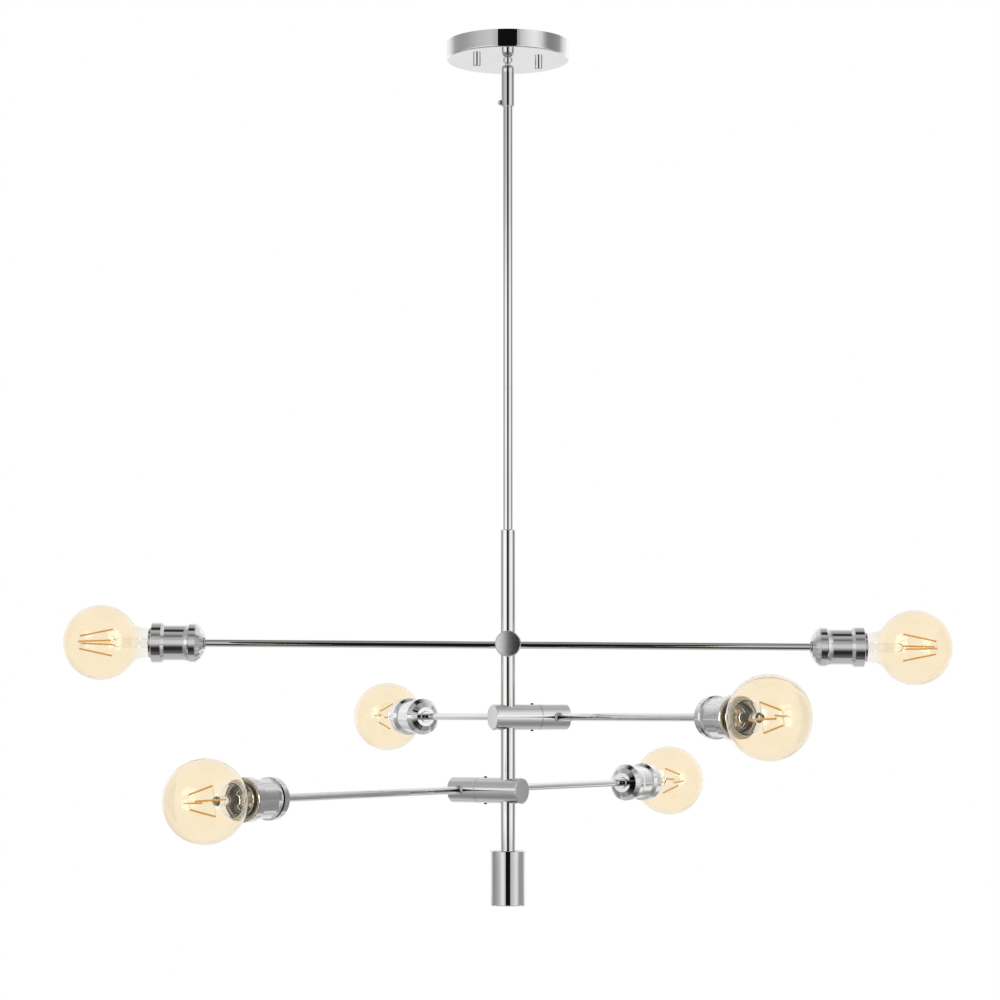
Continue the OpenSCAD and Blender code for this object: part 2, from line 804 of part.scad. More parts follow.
flanges(2);  // low_flanges
cones(2);  // low_cones
shells(2);  // low_shells
insulators(2);  // low_insulators
contacts(2);  // low_contacts
bulb_caps(2);  // low_bulb_caps
globes(2);  // low_globes
mounts(2);  // low_mounts
filaments(2);  // low_filaments
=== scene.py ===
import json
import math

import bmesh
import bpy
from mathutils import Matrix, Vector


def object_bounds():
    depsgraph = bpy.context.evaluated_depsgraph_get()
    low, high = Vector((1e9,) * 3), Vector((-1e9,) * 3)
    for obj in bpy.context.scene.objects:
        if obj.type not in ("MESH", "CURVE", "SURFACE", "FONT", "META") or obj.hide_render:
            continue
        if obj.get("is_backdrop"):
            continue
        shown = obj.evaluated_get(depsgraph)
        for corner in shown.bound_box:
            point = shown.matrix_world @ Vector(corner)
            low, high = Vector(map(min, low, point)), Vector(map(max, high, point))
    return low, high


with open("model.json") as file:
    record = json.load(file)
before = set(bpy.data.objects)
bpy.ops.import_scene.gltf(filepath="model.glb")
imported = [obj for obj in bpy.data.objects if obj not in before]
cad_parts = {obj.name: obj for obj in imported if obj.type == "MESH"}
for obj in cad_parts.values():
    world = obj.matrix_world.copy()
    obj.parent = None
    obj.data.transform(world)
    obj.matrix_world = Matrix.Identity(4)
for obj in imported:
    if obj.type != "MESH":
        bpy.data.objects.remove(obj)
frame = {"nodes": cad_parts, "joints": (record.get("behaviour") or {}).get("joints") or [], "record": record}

# %% [markdown]
# # Finishing a chandelier of turning arms
#
# The solids are already here: a canopy, a ball swivel, two rods, three hubs that turn on one stem, and three
# arms with a lamp holder and a globe bulb at each end. Every solid keeps its own object.
# This lesson builds a studio for polished metal and gives the solids their finishes: polished
# chrome, zinc, cream glaze, nickelled brass, aluminium and the thin amber glass of the bulbs.
# It adds no piece and changes no shape.

nodes = frame["nodes"]
cad_low, cad_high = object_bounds()
print("box in mm:", [round(1000 * v) for v in (cad_high - cad_low)])

# %% [markdown]
# ## The camera
#
# The chandelier is seen from three metres away with a long lens, from about the height of its
# arms. A short lens close by would swell the near bulbs, and a long one keeps the six closer to
# one size. The camera looks a little up, and it has no shift, so other views can move it freely.

# %% Camera
CAMERA_PLACE = (-0.00835, -2.9557, -0.7014)
CAMERA_PITCH = 4.148
CAMERA_LENS = 101.52

camera_data = bpy.data.cameras.new("camera")
camera_data.sensor_width = 36
camera_data.lens = CAMERA_LENS
camera_data.clip_start = 0.05
camera_data.clip_end = 60
camera = bpy.data.objects.new("camera", camera_data)
bpy.context.scene.collection.objects.link(camera)
camera.location = CAMERA_PLACE
camera.rotation_euler = (math.radians(90 + CAMERA_PITCH), 0, 0)
bpy.context.scene.camera = camera
bpy.context.scene.view_settings.view_transform = "Standard"
print("lens", CAMERA_LENS, "mm at", CAMERA_PLACE)

# %% [markdown]
# ## Where each arm runs
#
# The hubs and bulbs are placed by the joints of the model. A tilt joint gives the centre of its
# hub and the hub's axis. The arm crosses that axis at a right angle, 53.3 mm out from the stem,
# and runs level apart from its rest tilt in degrees. One small class keeps these values for one
# arm, and measures a solid's vertices from the crossing.

# %% Arm frames
UP = Vector((0, 0, 1))
ARM_OFFSET = 0.0533
REST_TILT = {"top": 0.37, "middle": -0.15, "low": 0.0}
joints = {joint["name"]: joint for joint in frame["joints"]}


class Arm:
    def __init__(self, name):
        joint = joints[name + "_arm_tilt"]
        self.name = name
        self.hub_axis = Vector(joint["axis"]).normalized()
        tilt = Matrix.Rotation(math.radians(REST_TILT[name]), 3, self.hub_axis)
        self.along = tilt @ UP.cross(self.hub_axis)
        self.centre = Vector(joint["pos_m"]) + ARM_OFFSET * self.hub_axis

    def reach(self, piece, way):
        """How far each vertex of a piece of this arm lies from the crossing in one direction."""
        vertices = nodes[self.name + piece].data.vertices
        return [(vert.co - self.centre).dot(way) for vert in vertices]


arms = [Arm(name) for name in REST_TILT]
for arm in arms:
    print(arm.name, "arm along", [round(v, 3) for v in arm.along])

# %% [markdown]
# ## Helpers for node trees
#
# A material is a tree of nodes, and building one by script repeats the same few moves: place a
# node, then link a socket or give it a plain value. Each helper below makes one kind of node and
# returns its output, so that a formula reads almost as it would on paper.

# %% Single nodes
def new_material(name):
    material = bpy.data.materials.new(name)
    material.use_nodes = True
    material.node_tree.nodes.clear()
    return material


def add_node(tree, kind, place, **values):
    node = tree.nodes.new(kind)
    node.location = place
    for key, value in values.items():
        setattr(node, key, value)
    return node


def feed(tree, socket, value):
    """Links a socket to another one, or gives it a plain value."""
    if isinstance(value, bpy.types.NodeSocket):
        tree.links.new(value, socket)
    else:
        socket.default_value = value


def math_node(tree, operation, place, *values):
    """A math node fed by sockets or plain numbers."""
    node = add_node(tree, "ShaderNodeMath", place, operation=operation)
    for socket, value in zip(node.inputs, values):
        feed(tree, socket, value)
    return node.outputs[0]


def vector_node(tree, operation, place, *values):
    """A vector math node fed by sockets or plain vectors."""
    node = add_node(tree, "ShaderNodeVectorMath", place, operation=operation)
    for socket, value in zip(node.inputs, values):
        feed(tree, socket, value)
    return node.outputs["Value" if operation == "DOT_PRODUCT" else "Vector"]


print("five helpers for single nodes")

# %% [markdown]
# The next helpers stand for a thought each: mix two things, go softly from 0 to 1, measure a
# place from a centre, or end a material. A Mix node keeps its sockets for numbers, vectors and
# colours side by side, so a small table says which two inputs and which output belong together.

# %% Mixes, steps and places
MIX_SOCKETS = {"FLOAT": (2, 3, 0), "VECTOR": (4, 5, 1), "RGBA": (6, 7, 2)}


def mix(tree, kind, place, factor, first, second):
    """A mix of two numbers, vectors or colours."""
    node = add_node(tree, "ShaderNodeMix", place, data_type=kind)
    first_at, second_at, out_at = MIX_SOCKETS[kind]
    feed(tree, node.inputs[0], factor)
    feed(tree, node.inputs[first_at], first)
    feed(tree, node.inputs[second_at], second)
    return node.outputs[out_at]


def soft_step(tree, place, value, start, end):
    """Goes softly from 0 at start to 1 at end, whichever of the two is higher."""
    node = add_node(tree, "ShaderNodeMapRange", place, interpolation_type="SMOOTHSTEP")
    feed(tree, node.inputs["Value"], value)
    feed(tree, node.inputs["From Min"], start)
    feed(tree, node.inputs["From Max"], end)
    return node.outputs[0]


def place_from(tree, place, centre):
    """The place on the surface, measured from a centre."""
    coords = add_node(tree, "ShaderNodeTexCoord", place)
    shift_place = (place[0] + 200, place[1])
    return vector_node(tree, "SUBTRACT", shift_place, coords.outputs["Object"], centre)


def split_xyz(tree, place, vector):
    node = add_node(tree, "ShaderNodeSeparateXYZ", place)
    tree.links.new(vector, node.inputs[0])
    return node.outputs


def set_surface(tree, place, shader):
    """Makes a shader the surface of its material."""
    out = add_node(tree, "ShaderNodeOutputMaterial", place)
    tree.links.new(shader, out.inputs["Surface"])


print("mix sockets by kind:", MIX_SOCKETS)

# %% [markdown]
# ## The studio
#
# Chrome has no colour of its own: it shows the room. A product studio for chrome is a pale tent
# with painted greys and a black flag or two, and each one draws a line along the metal. Walking
# round the tent from the camera's side, the greys run from light in front to white at the front
# corners, to middle grey at the flanks and to white again at the back. Going over the top there
# is a black flag straight above, and below the lamps the front of the tent is dark.
#
# Each tone is written as the grey that chrome shows for it, from 0 to 255, because that can be
# compared with a finished picture. A small function turns that grey into a light level.

# %% Tones of the tent
CHROME_TONE = 0.82
SCREEN_GAMMA = 2.2


def light_for(shown):
    """The light level that chrome shows as the given grey of 0 to 255."""
    return (shown / 255) ** SCREEN_GAMMA / CHROME_TONE


def tone_ramp(tree, place, value, stops):
    """A ramp of tones over an angle or a distance; stops are pairs of place and shown grey."""
    low, high = stops[0][0], stops[-1][0]
    scale = add_node(tree, "ShaderNodeMapRange", (place[0] - 200, place[1]))
    feed(tree, scale.inputs["Value"], value)
    feed(tree, scale.inputs["From Min"], low)
    feed(tree, scale.inputs["From Max"], high)
    ramp = add_node(tree, "ShaderNodeValToRGB", place)
    tree.links.new(scale.outputs[0], ramp.inputs[0])
    points = ramp.color_ramp.elements
    while len(points) < len(stops):
        points.new(0.5)
    for point, (where, shown) in zip(points, stops):
        point.position = (where - low) / (high - low)
        tone = light_for(shown)
        point.color = (tone, tone, tone, 1)
    return ramp.outputs["Color"]


print("white in the chrome needs a light of", round(light_for(255), 2))

# %% [markdown]
# The tent is one sphere round the whole scene. Near the horizon its tones run round it, in one
# ramp for low, one for middle and one for high places. The uprights show these three. Angles are
# in degrees, from 0 at the camera's side to 180 at the back, and negative on the left.
#
# A pair of limits says where one ramp hands over to the next. In all of them the tent's middle
# is the origin and its radius is 1, with x to the right, y away from the camera and z up.

# %% Tones round the horizon
HIGH_ROUND = (
    (-180, 226), (-168, 228), (-145, 230), (-130, 202), (-118, 157), (-100, 148), (-83, 155),
    (-69, 170), (-56, 184), (-44, 188), (-32, 192), (-21, 176), (21, 162), (24, 190), (35, 211),
    (41, 221), (50, 229), (59, 218), (66, 201), (72, 166), (79, 134), (87, 127), (99, 133),
    (112, 147), (123, 202), (136, 225), (155, 248), (168, 228), (180, 226),
)
MIDDLE_ROUND = (
    (-180, 219), (-168, 222), (-155, 250), (-140, 244), (-129, 212), (-123, 166), (-116, 152),
    (-105, 142), (-92, 158), (-80, 195), (-62, 238), (-46, 255), (-32, 245), (-22, 204),
    (18, 196), (30, 220), (46, 240), (62, 245), (72, 205), (80, 160), (92, 124), (104, 128),
    (114, 146), (121, 190), (130, 225), (150, 250), (168, 222), (180, 219),
)
LOW_ROUND = (
    (-180, 240), (-136, 244), (-122, 203), (-110, 147), (-99, 139), (-90, 144), (-73, 161),
    (-58, 179), (-51, 192), (-44, 210), (-37, 232), (-31, 225), (-24, 206), (-18, 188),
    (18, 178), (27, 186), (33, 199), (43, 210), (54, 224), (61, 207), (69, 172), (76, 145),
    (94, 145), (108, 150), (116, 180), (124, 228), (145, 245), (180, 240),
)
LOW_TO_MIDDLE_Z = (-0.118, -0.088)
MIDDLE_TO_HIGH_Z = (0.22, 0.34)


def horizon_tone(tree, x, front, z):
    """The tones that run round the tent near its horizon."""
    angle = math_node(tree, "ARCTAN2", (-800, 900), x, front)
    angle = math_node(tree, "DEGREES", (-600, 900), angle)
    low, middle, high = (
        tone_ramp(tree, (-200, 1500 - 300 * i), angle, stops)
        for i, stops in enumerate((LOW_ROUND, MIDDLE_ROUND, HIGH_ROUND)))
    upper = soft_step(tree, (-200, 2000), z, *LOW_TO_MIDDLE_Z)
    tone = mix(tree, "FLOAT", (100, 1500), upper, low, middle)
    upper = soft_step(tree, (-200, 1750), z, *MIDDLE_TO_HIGH_Z)
    return mix(tree, "FLOAT", (300, 1200), upper, tone, high)


print("stops round the horizon:", len(LOW_ROUND + MIDDLE_ROUND + HIGH_ROUND))

# %% [markdown]
# Further up and down the tones no longer run round. In the middle they run over the top, from 0
# degrees at the camera's side through 90 straight above to 180 at the back, and the other way
# below. The arms and their holders lie across the view and show this ramp. At the sides and at
# the back the tones go by height instead, from -1 at the bottom to 1 at the top, and the hubs,
# which point out of the view, show those.

# %% Tones above and below
OVER_THE_TOP = (
    (-180, 240), (-170, 226), (-144, 219), (-128, 172), (-116, 187), (-95, 177), (-87, 180),
    (-79, 162), (-71, 70), (-64, 98), (-57, 74), (-50, 58), (-40, 43), (-30, 45), (-24, 90),
    (-18, 136), (-5, 171), (1, 182), (13, 182), (25, 158), (34, 148), (44, 104), (51, 122),
    (58, 154), (72, 175), (80, 66), (88, 4), (97, 84), (107, 168), (118, 158), (131, 187),
    (180, 236),
)
LEFT_UP = (
    (-1, 170), (-0.95, 165), (-0.85, 134), (-0.7, 131), (-0.53, 144), (-0.3, 165), (0.3, 190),
    (0.6, 164), (1, 158),
)
RIGHT_UP = (
    (-1, 170), (-0.95, 167), (-0.875, 139), (-0.766, 131), (-0.64, 142), (-0.515, 162),
    (-0.375, 186), (-0.22, 222), (0.4, 250), (0.515, 234), (0.656, 203), (0.766, 190),
    (0.875, 158), (0.95, 134), (1, 132),
)
BACK_UP = (
    (-1, 170), (-0.945, 175), (-0.8, 192), (-0.6, 216), (-0.48, 235), (0.48, 212), (0.74, 210),
    (0.945, 180), (1, 150),
)
BACK_MIDDLE_UP = (
    (-1, 170), (-0.75, 160), (-0.61, 137), (-0.5, 146), (-0.43, 172), (-0.31, 214),
    (-0.1, 226), (0.3, 226), (0.55, 216), (1, 170),
)
LEFT_TO_RIGHT_X = (-0.25, 0.25)
MIDDLE_TO_FLANK_X = (0.26, 0.38)
FLANK_TO_BACK_Y = (0.0, 0.45)
BACK_TO_ITS_MIDDLE_Y = (0.58, 0.68)


def over_tone(tree, x, y, z, front):
    """The tones above and below: over the top in the middle, by height at the sides and back."""
    angle = math_node(tree, "ARCTAN2", (-800, 500), z, front)
    angle = math_node(tree, "DEGREES", (-600, 500), angle)
    top = tone_ramp(tree, (-200, 500), angle, OVER_THE_TOP)
    left, right, back, back_middle = (
        tone_ramp(tree, (-200, 200 - 300 * i), z, stops)
        for i, stops in enumerate((LEFT_UP, RIGHT_UP, BACK_UP, BACK_MIDDLE_UP)))
    rightward = soft_step(tree, (-200, -1000), x, *LEFT_TO_RIGHT_X)
    flank = mix(tree, "FLOAT", (100, 100), rightward, left, right)
    backward = soft_step(tree, (-200, -1250), y, *FLANK_TO_BACK_Y)
    flank = mix(tree, "FLOAT", (300, 0), backward, flank, back)
    backward = soft_step(tree, (-200, -1500), y, *BACK_TO_ITS_MIDDLE_Y)
    flank = mix(tree, "FLOAT", (500, -100), backward, flank, back_middle)
    aside = math_node(tree, "ABSOLUTE", (-400, -1750), x)
    aside = soft_step(tree, (-200, -1750), aside, *MIDDLE_TO_FLANK_X)
    return mix(tree, "FLOAT", (700, 200), aside, top, flank)


print("stops above and below:",
      len(OVER_THE_TOP + LEFT_UP + RIGHT_UP + BACK_UP + BACK_MIDDLE_UP))

# %% [markdown]
# The near holders turn towards the camera, and their undersides look down into the two low
# corners beside the scene. A ramp from left to right and a mask of four limits give those
# corners tones of their own.

# %% Tones of the low corners
LOW_CORNERS = (
    (-1, 150), (-0.8, 156), (-0.74, 154), (-0.66, 124), (-0.6, 142), (-0.5, 171), (-0.4, 188),
    (0.4, 172), (0.56, 151), (0.63, 136), (0.8, 135), (1, 140),
)
CORNERS_FROM_Y = (0.2, 0.3)
CORNERS_UNTIL_Y = (0.56, 0.50)
LEFT_CORNER_LONGER = 0.16
CORNERS_ASIDE_X = (0.42, 0.50)
CORNERS_BELOW_Z = (-0.13, -0.17)


def corner_mask(tree, x, y, z):
    """1 in the two low corners, of which the left one reaches further back."""
    on_left = math_node(tree, "LESS_THAN", (-800, -2300), x, 0)
    longer = math_node(tree, "MULTIPLY", (-600, -2300), on_left, LEFT_CORNER_LONGER)
    depth = math_node(tree, "SUBTRACT", (-400, -2300), y, longer)
    aside = math_node(tree, "ABSOLUTE", (-400, -2550), x)
    mask = soft_step(tree, (-200, -2050), y, *CORNERS_FROM_Y)
    for i, (value, limits) in enumerate((
            (depth, CORNERS_UNTIL_Y), (aside, CORNERS_ASIDE_X), (z, CORNERS_BELOW_Z))):
        within = soft_step(tree, (-200, -2300 - 250 * i), value, *limits)
        mask = math_node(tree, "MULTIPLY", (200 * i, -2200), mask, within)
    return mask


print("stops of the corners:", len(LOW_CORNERS))

# %% [markdown]
# Now the sphere itself. Its material turns the place on the sphere into a direction, asks each
# of the three functions for its tones and glows with the result. Only polished surfaces see the
# tent, because the eye, the glass and the matt pieces are to see a plain white room.

# %% The painted tent
TENT_CENTRE = (0, 0, -0.64)
TENT_R = 3.6
HORIZON_TO_TOP_Z = (0.45, 0.62)
HORIZON_TO_BOTTOM_Z = (-0.14, -0.26)


def tent_material():
    material = new_material("painted_tent")
    tree = material.node_tree
    away = place_from(tree, (-1800, 0), TENT_CENTRE)
    x, y, z = split_xyz(tree, (-1200, 0), vector_node(tree, "NORMALIZE", (-1400, 0), away))
    front = math_node(tree, "MULTIPLY", (-1000, 0), y, -1)
    above = soft_step(tree, (600, 900), z, *HORIZON_TO_TOP_Z)
    below = soft_step(tree, (600, 650), z, *HORIZON_TO_BOTTOM_Z)
    off_horizon = math_node(tree, "MAXIMUM", (800, 800), above, below)
    tone = mix(tree, "FLOAT", (1000, 500), off_horizon,
               horizon_tone(tree, x, front, z), over_tone(tree, x, y, z, front))
    corners = tone_ramp(tree, (900, -600), x, LOW_CORNERS)
    tone = mix(tree, "FLOAT", (1200, 300), corner_mask(tree, x, y, z), tone, corners)
    glow = add_node(tree, "ShaderNodeEmission", (1400, 300))
    tree.links.new(tone, glow.inputs["Color"])
    set_surface(tree, (1600, 300), glow.outputs[0])
    return material


def new_object(name, shape, material):
    """Turns a bmesh into an object of the scene."""
    mesh = bpy.data.meshes.new(name)
    shape.to_mesh(mesh)
    shape.free()
    mesh.materials.append(material)
    obj = bpy.data.objects.new(name, mesh)
    bpy.context.scene.collection.objects.link(obj)
    return obj


def stage_object(name, shape, material):
    """Makes a stage object that only polished surfaces see."""
    obj = new_object(name, shape, material)
    obj.visible_camera = False
    obj.visible_diffuse = False
    obj.visible_transmission = False
    obj.visible_volume_scatter = False
    obj.visible_shadow = False
    obj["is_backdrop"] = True
    return obj


tent = bmesh.new()
bmesh.ops.create_uvsphere(tent, u_segments=48, v_segments=24, radius=TENT_R)
bmesh.ops.translate(tent, vec=TENT_CENTRE, verts=tent.verts)
stage_object("tent", tent, tent_material())
print("tent of", TENT_R, "m round", TENT_CENTRE)

# %% [markdown]
# A black strip hangs in front of the tent on the camera's side, wider at the top. It draws the
# dark line down every upright, and without it the chrome would look pale and flat. It is
# one grid of two columns whose rows are moved to their levels.

# %% Black strip
BLACK = (0.006, 0.006, 0.006, 1)
STRIP_DISTANCE = 1.35
STRIP_LEVELS = (
    (-1.9, -0.33, 0.31), (-0.93, -0.370, 0.345), (-0.60, -0.420, 0.310),
    (0.30, -0.452, 0.409), (0.40, -0.455, 0.415),
)


def strip_shape(distance, levels):
    """An upright strip facing the scene; each level is (z, left, right), from the lowest up."""
    shape = bmesh.new()
    bmesh.ops.create_grid(shape, x_segments=1, y_segments=len(levels) - 1, size=1)
    for vert in shape.verts:
        z, left, right = levels[round((vert.co.y + 1) / 2 * (len(levels) - 1))]
        vert.co = (right if vert.co.x > 0 else left, -distance, z)
    return shape


def black_material():
    material = new_material("black_flag")
    tree = material.node_tree
    glow = add_node(tree, "ShaderNodeEmission", (0, 0))
    glow.inputs["Color"].default_value = BLACK
    set_surface(tree, (200, 0), glow.outputs[0])
    return material


stage_object("strip_front", strip_shape(STRIP_DISTANCE, STRIP_LEVELS), black_material())
print("strip of", len(STRIP_LEVELS), "levels")

# %% [markdown]
# Two soft panels glow at the front corners, for the bulbs alone. Their light counts only on rays
# that have passed five or six faces of glass and were mirrored once at most, so it leaves bright
# points inside the bulbs and no square window on the metal. A panel fades out towards its
# border, because a hard edge would show in the glass.

# %% Soft panels
PANEL_DISTANCE = 2.7
PANEL_TURN = 46
PANEL_HALF_WIDTH = 1.3
PANEL_LEVEL = 11
PANEL_CORE = 0.45
MOST_MIRRORS = 1.5
GLASS_FACES = (4.5, 6.5)


def all_of(tree, place, masks):
    """The product of several masks."""
    product = masks[0]
    for i, mask in enumerate(masks[1:]):
        product = math_node(tree, "MULTIPLY", (place[0] + 150 * i, place[1]), product, mask)
    return product


def panel_material(name, centre, half_height):
    """A panel that glows in the middle and fades to nothing at its border."""
    material = new_material(name)
    tree = material.node_tree
    x, y, z = split_xyz(tree, (-800, 0), place_from(tree, (-1200, 0), centre))
    squares = (math_node(tree, "POWER", (-600, 300 - 200 * i), v, 2) for i, v in enumerate((x, y)))
    flat = math_node(tree, "SQRT", (-400, 200), math_node(tree, "ADD", (-500, 200), *squares))
    upright = math_node(tree, "ABSOLUTE", (-400, -100), z)
    path = add_node(tree, "ShaderNodeLightPath", (-400, -400))
    mirrors = path.outputs["Glossy Depth"]
    faces = path.outputs["Transmission Depth"]
    mask = all_of(tree, (100, 200), (
        soft_step(tree, (-200, 200), flat, PANEL_HALF_WIDTH, PANEL_HALF_WIDTH * PANEL_CORE),
        soft_step(tree, (-200, -100), upright, half_height, half_height * PANEL_CORE),
        math_node(tree, "LESS_THAN", (-200, -400), mirrors, MOST_MIRRORS),
        math_node(tree, "GREATER_THAN", (-200, -600), faces, GLASS_FACES[0]),
        math_node(tree, "LESS_THAN", (-200, -800), faces, GLASS_FACES[1])))
    glow = add_node(tree, "ShaderNodeEmission", (600, -100))
    glow.inputs["Strength"].default_value = PANEL_LEVEL
    clear = add_node(tree, "ShaderNodeBsdfTransparent", (600, -300))
    blend = add_node(tree, "ShaderNodeMixShader", (800, 0))
    for socket, source in zip(blend.inputs, (mask, clear.outputs[0], glow.outputs[0])):
        tree.links.new(source, socket)
    set_surface(tree, (1000, 0), blend.outputs[0])
    return material


def soft_panel(name, turn, height, half_height):
    """A glowing panel at an angle from the camera's side, facing the stem."""
    angle = math.radians(turn)
    way = Vector((math.sin(angle), -math.cos(angle), 0))
    centre = PANEL_DISTANCE * way + height * UP
    shape = bmesh.new()
    bmesh.ops.create_grid(shape, x_segments=1, y_segments=1, size=1)
    facing = Matrix.Rotation(angle, 4, "Z") @ Matrix.Rotation(math.radians(90), 4, "X")
    size = Matrix.Diagonal((PANEL_HALF_WIDTH, half_height, 1, 1))
    place = Matrix.Translation(centre) @ facing @ size
    bmesh.ops.transform(shape, matrix=place, verts=shape.verts)
    panel = stage_object(name, shape, panel_material(name, centre, half_height))
    panel.visible_glossy = False
    panel.visible_transmission = True


soft_panel("panel_left", -PANEL_TURN, height=-1.05, half_height=1.6)
soft_panel("panel_right", PANEL_TURN, height=-1.30, half_height=1.7)
print("panels", PANEL_DISTANCE, "m from the stem")

# %% [markdown]
# The floor is pale and far below, because the chandelier hangs. Seen from above it glows white
# for the eye, so that it has no edge against the white room, and seen from underneath it lets
# the camera through.

# %% Floor
FLOOR_Z = -3.0
FLOOR_HALF_SIDE = 5
FLOOR_TONE = (0.86, 0.86, 0.86, 1)
FLOOR_ROUGHNESS = 0.8
WHITE = (1, 1, 1, 1)
FLOOR_GLOW_IN_GLASS = 0.5


def floor_material():
    material = new_material("pale_floor")
    tree = material.node_tree
    shade = add_node(tree, "ShaderNodeBsdfPrincipled", (-300, 100))
    shade.inputs["Base Color"].default_value = FLOOR_TONE
    shade.inputs["Roughness"].default_value = FLOOR_ROUGHNESS
    shade.inputs["Emission Color"].default_value = WHITE
    path = add_node(tree, "ShaderNodeLightPath", (-900, 0))
    in_glass = math_node(tree, "MULTIPLY", (-700, -100),
                         path.outputs["Is Transmission Ray"], FLOOR_GLOW_IN_GLASS)
    seen = math_node(tree, "MAXIMUM", (-500, 0), path.outputs["Is Camera Ray"], in_glass)
    tree.links.new(seen, shade.inputs["Emission Strength"])
    clear = add_node(tree, "ShaderNodeBsdfTransparent", (-300, -300))
    geometry = add_node(tree, "ShaderNodeNewGeometry", (-300, 400))
    blend = add_node(tree, "ShaderNodeMixShader", (0, 0))
    below = geometry.outputs["Backfacing"]
    for socket, source in zip(blend.inputs, (below, shade.outputs[0], clear.outputs[0])):
        tree.links.new(source, socket)
    set_surface(tree, (200, 0), blend.outputs[0])
    return material


floor_shape = bmesh.new()
bmesh.ops.create_grid(floor_shape, x_segments=1, y_segments=1, size=FLOOR_HALF_SIDE)
bmesh.ops.translate(floor_shape, vec=(0, 0, FLOOR_Z), verts=floor_shape.verts)
floor = new_object("floor", floor_shape, floor_material())
floor.visible_glossy = False
floor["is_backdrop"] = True
print("floor at z =", FLOOR_Z)

# %% [markdown]
# The world is white for the eye, for glass and for mirrors, and gives a plain even light to
# everything else. Two area lamps at the front corners light the matt pieces. They are hidden
# from metal and glass, where they would show as hard rectangles.

# %% World and lamps
ROOM_LIGHT = 0.45
LAMP_ASIDE = 1.9
LAMP_Y = -2.0
LAMP_Z = -0.2
LAMP_SIZE = (1.0, 1.2)
LAMP_POWER = 24


def white_room():
    world = bpy.data.worlds.new("white_room")
    world.use_nodes = True
    tree = world.node_tree
    tree.nodes.clear()
    path = add_node(tree, "ShaderNodeLightPath", (-900, 0))
    seen = path.outputs["Is Camera Ray"]
    for i, ray in enumerate(("Is Transmission Ray", "Is Glossy Ray")):
        seen = math_node(tree, "MAXIMUM", (-700 + 200 * i, 100), seen, path.outputs[ray])
    level = mix(tree, "FLOAT", (-300, 100), seen, ROOM_LIGHT, 1.0)
    background = add_node(tree, "ShaderNodeBackground", (-100, 100))
    out = add_node(tree, "ShaderNodeOutputWorld", (100, 100))
    tree.links.new(level, background.inputs["Color"])
    tree.links.new(background.outputs[0], out.inputs["Surface"])
    return world


def area_lamp(name, place):
    """A soft lamp turned towards the middle of the tent, unseen by metal and glass."""
    data = bpy.data.lights.new(name, "AREA")
    data.shape = "RECTANGLE"
    data.size, data.size_y = LAMP_SIZE
    data.energy = LAMP_POWER
    lamp = bpy.data.objects.new(name, data)
    bpy.context.scene.collection.objects.link(lamp)
    lamp.location = place
    lamp.rotation_mode = "QUATERNION"
    inward = Vector(TENT_CENTRE) - Vector(place)
    lamp.rotation_quaternion = inward.to_track_quat("-Z", "Y")
    lamp.visible_glossy = False
    lamp.visible_transmission = False


bpy.context.scene.world = white_room()
for side, x in (("left", -LAMP_ASIDE), ("right", LAMP_ASIDE)):
    area_lamp("lamp_" + side, (x, LAMP_Y, LAMP_Z))
print("two lamps of", LAMP_POWER, "W")

# %% [markdown]
# ## A shared effect: the life of a polished surface
#
# Polished plate is never quite even. Wiping leaves faint streaks that change the gloss, and the
# metal under the plate is a little wavy. Several finishes use both effects, so they are one node
# group with named inputs. The group gives a mask, a roughness and a normal.

# %% The surface life group
LIFE_INPUTS = {"Scale": 30.0, "Stretch": 1.0, "Smooth": 0.03, "Dull": 0.08, "Wave": 0.02}
LIFE_OUTPUTS = {"Mask": "Float", "Roughness": "Float", "Normal": "Vector"}
STREAK_LIMITS = (0.4, 0.68)
STREAK_DETAIL = 4.0
WAVE_DETAIL = 2.0
WAVE_HEIGHT = 0.001


def life_noise(group, place, vector, scale, detail):
    noise = add_node(group, "ShaderNodeTexNoise", place)
    noise.inputs["Detail"].default_value = detail
    group.links.new(vector, noise.inputs["Vector"])
    group.links.new(scale, noise.inputs["Scale"])
    return noise.outputs["Fac"]


